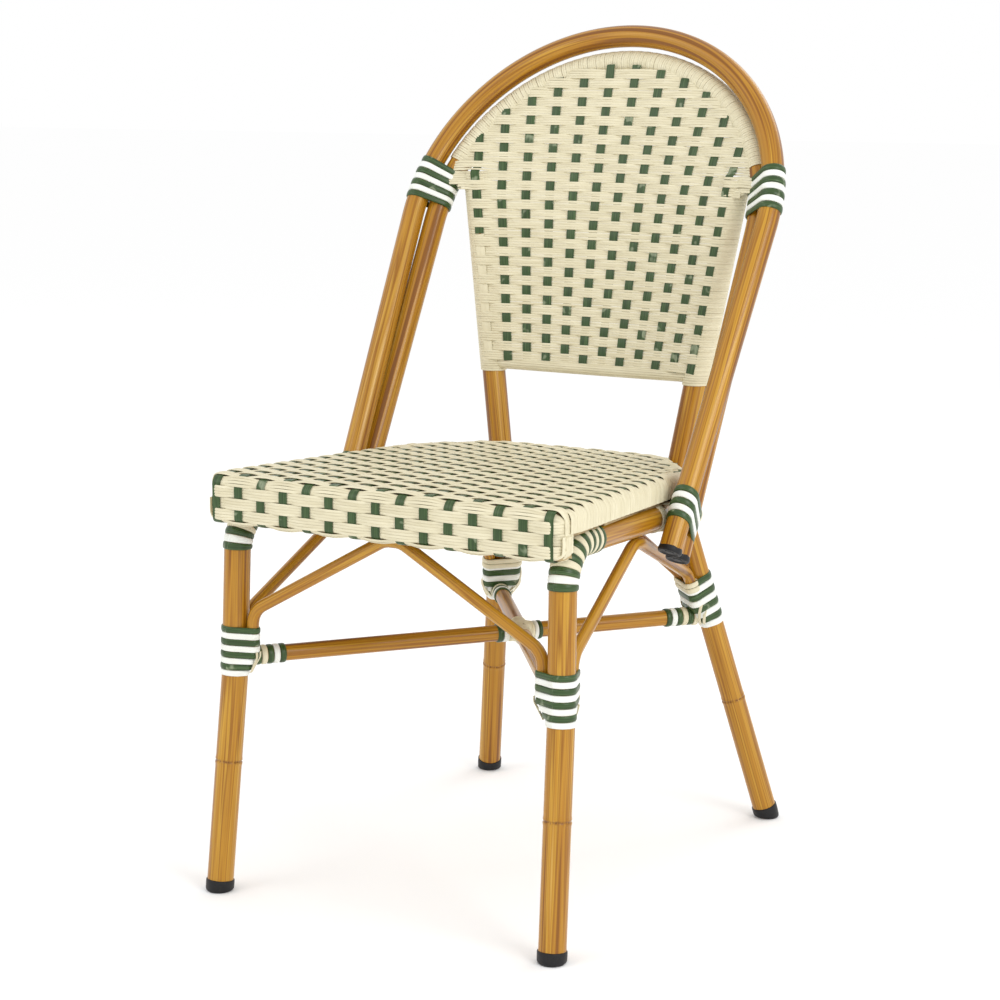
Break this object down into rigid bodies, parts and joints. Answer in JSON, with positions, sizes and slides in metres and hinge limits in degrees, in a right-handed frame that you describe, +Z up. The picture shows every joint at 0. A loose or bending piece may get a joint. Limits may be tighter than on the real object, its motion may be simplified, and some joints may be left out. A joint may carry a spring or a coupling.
{
  "type": "stacking chair",
  "caption": "Bistro stacking chair of bent bamboo-look tubes with wound cane bindings, hoop arms, crossed stretchers and a woven seat and back.",
  "frame": {"origin": "middle of the chair's footprint, on the floor", "axes": "+Z up, -Y out of the front of the seat, +X to the right of someone facing the front of the chair"},
  "size_m": [0.478, 0.5696, 0.9149],
  "materials": {
    "bamboo": "lacquered bamboo with darker streaks and rings, semi-gloss",
    "cream": "cream woven strand, satin",
    "cane": "green and white wound strips, semi-gloss",
    "plastic": "black, satin"
  },
  "bodies": {
    "root": {"front_leg_and_side_rail_right": "bamboo", "front_leg_and_side_rail_left": "bamboo", "rear_leg_and_upright_right": "bamboo", "rear_leg_and_upright_left": "bamboo", "side_brace_right": "bamboo", "side_brace_left": "bamboo", "front_foot_cap_right": "plastic", "front_foot_cap_left": "plastic", "rear_foot_cap_right": "plastic", "rear_foot_cap_left": "plastic", "outer_hoop_plug_right": "plastic", "outer_hoop_plug_left": "plastic", "inner_hoop_plug_right": "plastic", "inner_hoop_plug_left": "plastic", "front_brace_binding_right": "cane", "front_brace_binding_left": "cane", "front_stretcher_tie_right": "cane", "front_stretcher_tie_left": "cane", "rear_brace_binding_right": "cane", "rear_brace_binding_left": "cane", "rear_stretcher_tie_right": "cane", "rear_stretcher_tie_left": "cane", "front_corner_binding_right": "cane", "front_corner_binding_left": "cane", "upper_binding_right": "cane", "upper_binding_left": "cane", "hoop_foot_binding_right": "cane", "hoop_foot_binding_left": "cane", "front_stretcher_binding_right": "cane", "front_stretcher_binding_left": "cane", "rear_stretcher_binding_right": "cane", "rear_stretcher_binding_left": "cane", "outer_hoop": "bamboo", "inner_hoop": "bamboo", "front_seat_rail": "bamboo", "rear_seat_rail": "bamboo", "front_brace": "bamboo", "rear_brace": "bamboo", "long_stretcher": "bamboo", "front_half_stretcher": "bamboo", "rear_half_stretcher": "bamboo", "crossing_binding": "cream", "woven_seat": "cream", "woven_back": "cream", "back_bottom_bar": "bamboo"}
  },
  "joints": []
}
